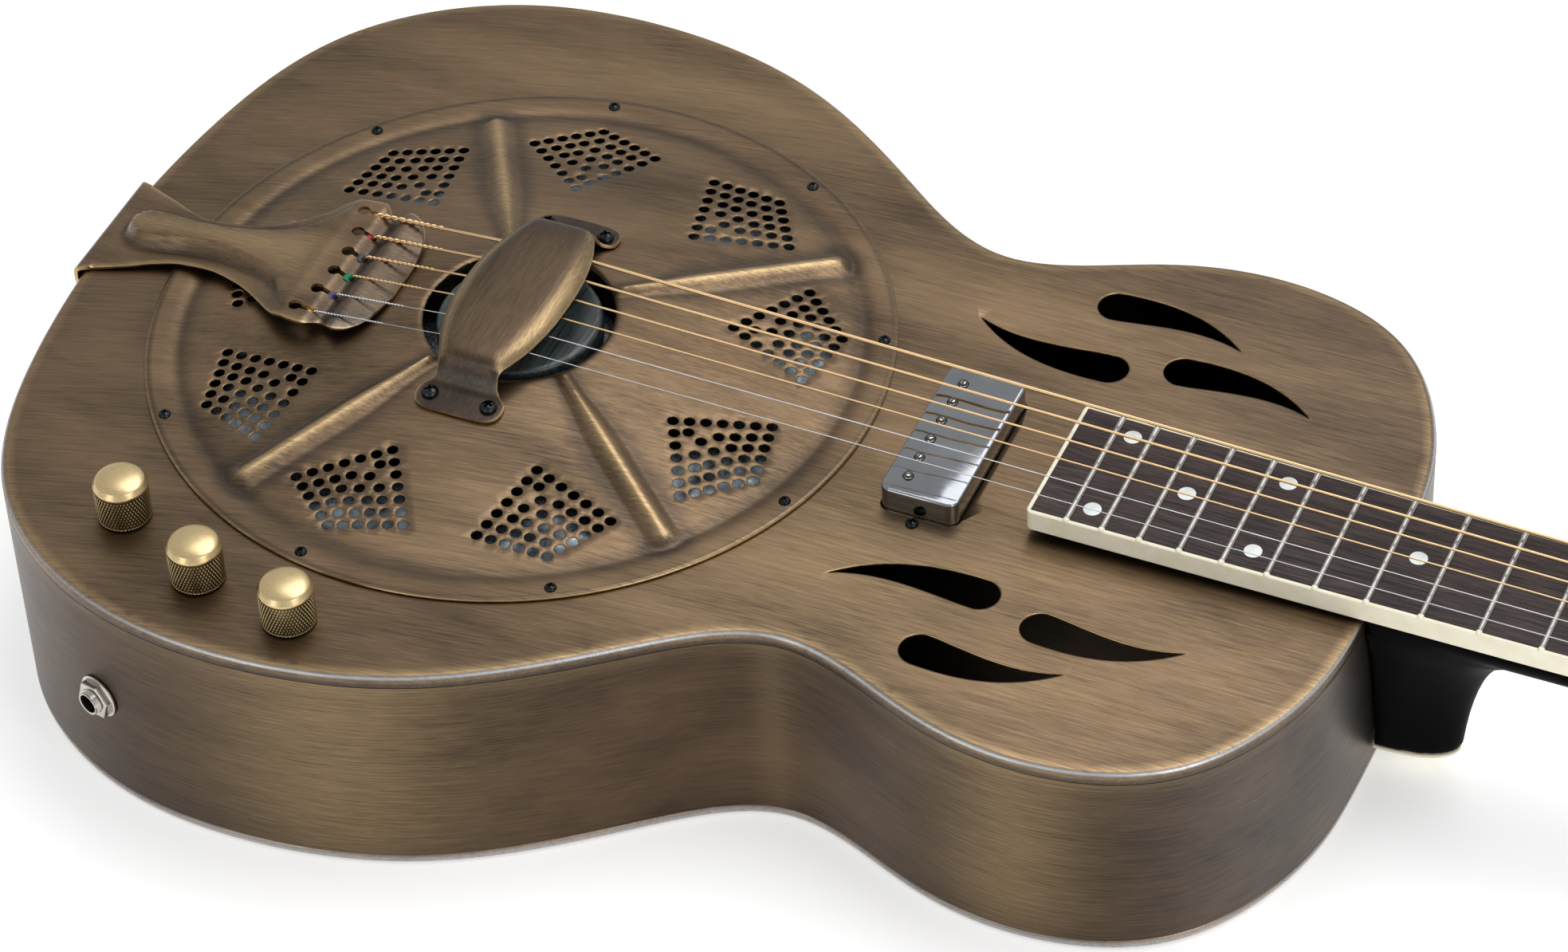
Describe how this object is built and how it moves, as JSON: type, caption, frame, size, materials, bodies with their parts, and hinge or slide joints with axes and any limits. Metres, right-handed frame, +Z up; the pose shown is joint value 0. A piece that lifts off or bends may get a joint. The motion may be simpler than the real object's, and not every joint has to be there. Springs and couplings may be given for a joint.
{
  "type": "resonator guitar",
  "caption": "Metal-bodied resonator guitar with a ribbed round coverplate, arched hand rest, tailpiece, neck pickup, control knobs, flame-shaped sound holes and geared tuners.",
  "frame": {"origin": "point of the flat back below the centre of the coverplate", "axes": "+X along the strings to the headstock, +Y to the bass side, +Z up out of the top; the guitar lies on its flat back"},
  "size_m": [0.9828, 0.3594, 0.117],
  "materials": {
    "aged_brass": "brushed and darkened antique finish, worn bright on raised edges",
    "spun_aluminium": "spun, bare",
    "ebonised_wood": "black stained grain, satin",
    "maple": "bare maple",
    "black_satin_wood": "black satin lacquer",
    "black_gloss_wood": "black gloss lacquer",
    "rosewood": "oiled open grain",
    "cream_binding": "cream celluloid look",
    "bone": "polished bone look",
    "rod_steel": "plain steel",
    "black_plastic": "black plastic",
    "chrome": "polished",
    "nickel": "nickel plate",
    "knob_brass": "satin gold-coloured brass",
    "wound_bronze": "wound phosphor bronze",
    "plain_steel": "plain wire",
    "button_cream": "cream plastic"
  },
  "bodies": {
    "guitar": {"biscuit": "ebonised_wood", "body_back": "aged_brass", "body_side": "aged_brass", "body_top": "aged_brass", "coverplate": "aged_brass", "fingerboard": "rosewood", "fingerboard_binding": "cream_binding", "hand_rest": "aged_brass", "head_veneer": "black_gloss_wood", "heel_cap": "cream_binding", "jack_nut": "nickel", "jack_socket": "nickel", "neck": "black_satin_wood", "neck_stick": "maple", "nut": "bone", "pickup_bracket": "nickel", "pickup_coils": "black_plastic", "pickup_cover": "chrome", "pot_blend": "nickel", "pot_tone": "nickel", "pot_volume": "nickel", "resonator_cone": "spun_aluminium", "saddle": "maple", "soundwell": "aged_brass", "strap_button": "nickel", "string_1": "wound_bronze", "string_2": "wound_bronze", "string_3": "wound_bronze", "string_4": "wound_bronze", "string_5": "plain_steel", "string_6": "plain_steel", "tailpiece": "aged_brass", "truss_rod": "rod_steel", "truss_rod_cover": "black_plastic", "tuner_1_housing": "nickel", "tuner_2_housing": "nickel", "tuner_3_housing": "nickel", "tuner_4_housing": "nickel", "tuner_5_housing": "nickel", "tuner_6_housing": "nickel"},
    "knob_volume": {"knob_volume": "knob_brass"},
    "knob_tone": {"knob_tone": "knob_brass"},
    "knob_blend": {"knob_blend": "knob_brass"},
    "tuner_1_button": {"tuner_1_button": "button_cream"},
    "tuner_1_post": {"tuner_1_post": "nickel"},
    "tuner_2_button": {"tuner_2_button": "button_cream"},
    "tuner_2_post": {"tuner_2_post": "nickel"},
    "tuner_3_button": {"tuner_3_button": "button_cream"},
    "tuner_3_post": {"tuner_3_post": "nickel"},
    "tuner_4_button": {"tuner_4_button": "button_cream"},
    "tuner_4_post": {"tuner_4_post": "nickel"},
    "tuner_5_button": {"tuner_5_button": "button_cream"},
    "tuner_5_post": {"tuner_5_post": "nickel"},
    "tuner_6_button": {"tuner_6_button": "button_cream"},
    "tuner_6_post": {"tuner_6_post": "nickel"}
  },
  "joints": [
    {"name": "volume_turn", "type": "hinge", "parent": "guitar", "child": "knob_volume", "pos_m": [-0.08772, -0.1309, 0.09325], "axis": [0.024, 0, 0.9997], "range_deg": [-150, 150]},
    {"name": "tone_turn", "type": "hinge", "parent": "guitar", "child": "knob_tone", "pos_m": [-0.04974, -0.1489, 0.09234], "axis": [0.024, 0, 0.9997], "range_deg": [-150, 150]},
    {"name": "blend_turn", "type": "hinge", "parent": "guitar", "child": "knob_blend", "pos_m": [-0.01165, -0.1557, 0.09142], "axis": [0.024, 0, 0.9997], "range_deg": [-150, 150]},
    {"name": "tuner_1_turn", "type": "hinge", "parent": "guitar", "child": "tuner_1_button", "pos_m": [0.68325, 0.024, 0.04044], "axis": [0, 1, 0], "continuous": true},
    {"name": "tuner_1_post_turn", "type": "hinge", "parent": "guitar", "child": "tuner_1_post", "pos_m": [0.67646, 0.024, 0.04783], "axis": [0.2459, 0, 0.9693], "continuous": true},
    {"name": "tuner_2_turn", "type": "hinge", "parent": "guitar", "child": "tuner_2_button", "pos_m": [0.72396, 0.0255, 0.03011], "axis": [0, 1, 0], "continuous": true},
    {"name": "tuner_2_post_turn", "type": "hinge", "parent": "guitar", "child": "tuner_2_post", "pos_m": [0.71717, 0.0255, 0.0375], "axis": [0.2459, 0, 0.9693], "continuous": true},
    {"name": "tuner_3_turn", "type": "hinge", "parent": "guitar", "child": "tuner_3_button", "pos_m": [0.76467, 0.027, 0.01978], "axis": [0, 1, 0], "continuous": true},
    {"name": "tuner_3_post_turn", "type": "hinge", "parent": "guitar", "child": "tuner_3_post", "pos_m": [0.75788, 0.027, 0.02718], "axis": [0.2459, 0, 0.9693], "continuous": true},
    {"name": "tuner_4_turn", "type": "hinge", "parent": "guitar", "child": "tuner_4_button", "pos_m": [0.76467, -0.027, 0.01978], "axis": [0, -1, 0], "continuous": true},
    {"name": "tuner_4_post_turn", "type": "hinge", "parent": "guitar", "child": "tuner_4_post", "pos_m": [0.75788, -0.027, 0.02718], "axis": [0.2459, 0, 0.9693], "continuous": true},
    {"name": "tuner_5_turn", "type": "hinge", "parent": "guitar", "child": "tuner_5_button", "pos_m": [0.72396, -0.0255, 0.03011], "axis": [0, -1, 0], "continuous": true},
    {"name": "tuner_5_post_turn", "type": "hinge", "parent": "guitar", "child": "tuner_5_post", "pos_m": [0.71717, -0.0255, 0.0375], "axis": [0.2459, 0, 0.9693], "continuous": true},
    {"name": "tuner_6_turn", "type": "hinge", "parent": "guitar", "child": "tuner_6_button", "pos_m": [0.68325, -0.024, 0.04044], "axis": [0, -1, 0], "continuous": true},
    {"name": "tuner_6_post_turn", "type": "hinge", "parent": "guitar", "child": "tuner_6_post", "pos_m": [0.67646, -0.024, 0.04783], "axis": [0.2459, 0, 0.9693], "continuous": true}
  ],
  "couplings": [
    {"joint": "tuner_1_post_turn", "follows": "tuner_1_turn", "ratio": 0.066667},
    {"joint": "tuner_2_post_turn", "follows": "tuner_2_turn", "ratio": 0.066667},
    {"joint": "tuner_3_post_turn", "follows": "tuner_3_turn", "ratio": 0.066667},
    {"joint": "tuner_4_post_turn", "follows": "tuner_4_turn", "ratio": -0.066667},
    {"joint": "tuner_5_post_turn", "follows": "tuner_5_turn", "ratio": -0.066667},
    {"joint": "tuner_6_post_turn", "follows": "tuner_6_turn", "ratio": -0.066667}
  ]
}
